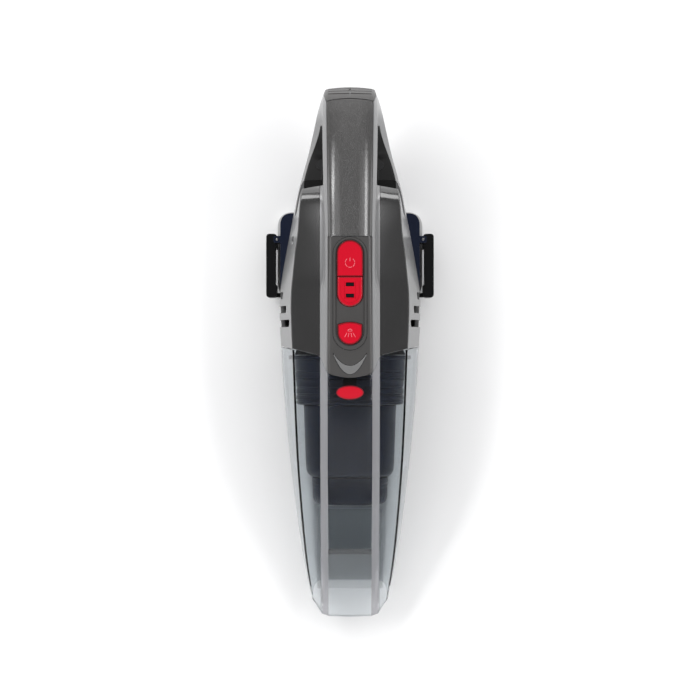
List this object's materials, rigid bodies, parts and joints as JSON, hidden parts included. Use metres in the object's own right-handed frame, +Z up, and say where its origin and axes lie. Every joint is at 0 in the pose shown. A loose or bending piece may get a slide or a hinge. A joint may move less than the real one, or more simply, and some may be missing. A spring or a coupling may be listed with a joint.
{
  "type": "handheld vacuum",
  "caption": "Cordless handheld vacuum with a closed loop handle, silver clamshell body, glossy grey shoulders, red push buttons and a long clear tapering dust bin with its filter inside.",
  "frame": {"origin": "on the surface it lies on, under the middle of its bounding box", "axes": "+Y towards the rear of the handle, -Y out of the nozzle, +Z up through the handle's back, +X to the right seen from above with the handle away"},
  "size_m": [0.129, 0.3999, 0.1223],
  "materials": {
    "silver_shell": "satin silver metallic paint",
    "gloss_grey": "high-gloss dark grey",
    "trim_grey": "satin dark grey",
    "grip_grey": "fine-grained dark grey",
    "red_plastic": "glossy red",
    "smoked_clear": "smoke-grey transparent",
    "clear_lens": "frosted clear",
    "navy_plastic": "dark navy",
    "pale_grey": "pale grey",
    "black_plastic": "satin black",
    "rubber": "matt black",
    "steel": "plated",
    "circuit_board": "green solder mask",
    "filter_paper": "pleated paper",
    "cell_wrap": "blue sleeve"
  },
  "bodies": {
    "housing": {"left_housing": "silver_shell", "right_housing": "silver_shell", "left_shoulder": "gloss_grey", "right_shoulder": "gloss_grey", "finger_well_liner": "gloss_grey", "control_panel": "trim_grey", "switch_bezel": "trim_grey", "handle_end_cap": "trim_grey", "handle_grip": "grip_grey", "led_lens": "clear_lens", "impeller_shroud": "navy_plastic", "led_lamp": "pale_grey", "bulkhead": "black_plastic", "motor_mount": "black_plastic", "motor_end_bell": "black_plastic", "charging_socket": "black_plastic", "bay_terminal": "black_plastic", "button_membrane": "rubber", "finger_rest_pad": "rubber", "motor_can": "steel", "housing_screw_1": "steel", "housing_screw_2": "steel", "housing_screw_3": "steel", "housing_screw_4": "steel", "circuit_board": "circuit_board"},
    "power_button": {"power_button": "red_plastic"},
    "mode_button": {"mode_button": "red_plastic", "indicator_window_1": "black_plastic", "indicator_window_2": "black_plastic"},
    "light_button": {"light_button": "red_plastic"},
    "rotor": {"motor_shaft": "steel", "impeller": "navy_plastic"},
    "bin": {"dust_bin": "smoked_clear", "intake_duct": "smoked_clear", "flap_pin": "steel"},
    "bin_release": {"bin_release_button": "red_plastic", "bin_latch": "black_plastic"},
    "inlet_flap": {"inlet_flap": "rubber"},
    "filter": {"filter_frame": "navy_plastic", "filter_cup": "navy_plastic", "filter_end_cap": "navy_plastic", "filter_seal": "rubber", "hepa_element": "filter_paper"},
    "battery": {"battery_case": "navy_plastic", "battery_base": "pale_grey", "battery_cell_1": "cell_wrap", "battery_cell_2": "cell_wrap", "battery_cell_3": "cell_wrap", "battery_board": "circuit_board", "battery_connector": "black_plastic", "left_latch_pin": "steel", "right_latch_pin": "steel", "left_latch_spring": "steel", "right_latch_spring": "steel", "foot_front_left": "rubber", "foot_front_right": "rubber", "foot_rear_left": "rubber", "foot_rear_right": "rubber"},
    "left_latch": {"left_latch": "black_plastic"},
    "right_latch": {"right_latch": "black_plastic"}
  },
  "joints": [
    {"name": "power_button_press", "type": "slide", "parent": "housing", "child": "power_button", "axis": [0, 0, -1], "range_m": [0, 0.0012], "stiffness_N_per_m": 900, "springref_m": -0.0004},
    {"name": "mode_button_press", "type": "slide", "parent": "housing", "child": "mode_button", "axis": [0, 0, -1], "range_m": [0, 0.0012], "stiffness_N_per_m": 900, "springref_m": -0.0004},
    {"name": "light_button_press", "type": "slide", "parent": "housing", "child": "light_button", "axis": [0, 0, -1], "range_m": [0, 0.0012], "stiffness_N_per_m": 900, "springref_m": -0.0004},
    {"name": "motor_spin", "type": "hinge", "parent": "housing", "child": "rotor", "pos_m": [0, 0.04, 0.062], "axis": [0, 1, 0], "continuous": true},
    {"name": "bin_pull", "type": "slide", "parent": "housing", "child": "bin", "axis": [0, -1, 0], "range_m": [0, 0.26]},
    {"name": "bin_release_press", "type": "slide", "parent": "bin", "child": "bin_release", "axis": [0, 0, -1], "range_m": [0, 0.0012], "stiffness_N_per_m": 900, "springref_m": -0.0004},
    {"name": "inlet_flap_swing", "type": "hinge", "parent": "bin", "child": "inlet_flap", "pos_m": [0, -0.15, 0.0236], "axis": [1, 0, 0], "range_deg": [0, 55]},
    {"name": "filter_pull", "type": "slide", "parent": "housing", "child": "filter", "axis": [0, -1, 0], "range_m": [0, 0.12]},
    {"name": "battery_pull", "type": "slide", "parent": "housing", "child": "battery", "axis": [0, 1, 0], "range_m": [0, 0.14]},
    {"name": "left_latch_squeeze", "type": "hinge", "parent": "battery", "child": "left_latch", "pos_m": [-0.0562, 0.091, 0.02], "axis": [0, 0, 1], "range_deg": [0, 3], "stiffness_Nm_per_rad": 0.3, "springref_deg": -2.86, "deforming": ["left_latch_spring"]},
    {"name": "right_latch_squeeze", "type": "hinge", "parent": "battery", "child": "right_latch", "pos_m": [0.0562, 0.091, 0.02], "axis": [0, 0, 1], "range_deg": [-3, 0], "stiffness_Nm_per_rad": 0.3, "springref_deg": 2.86, "deforming": ["right_latch_spring"]}
  ],
  "couplings": [
    {"joint": "filter_pull", "follows": "bin_pull", "ratio": 0.46}
  ]
}
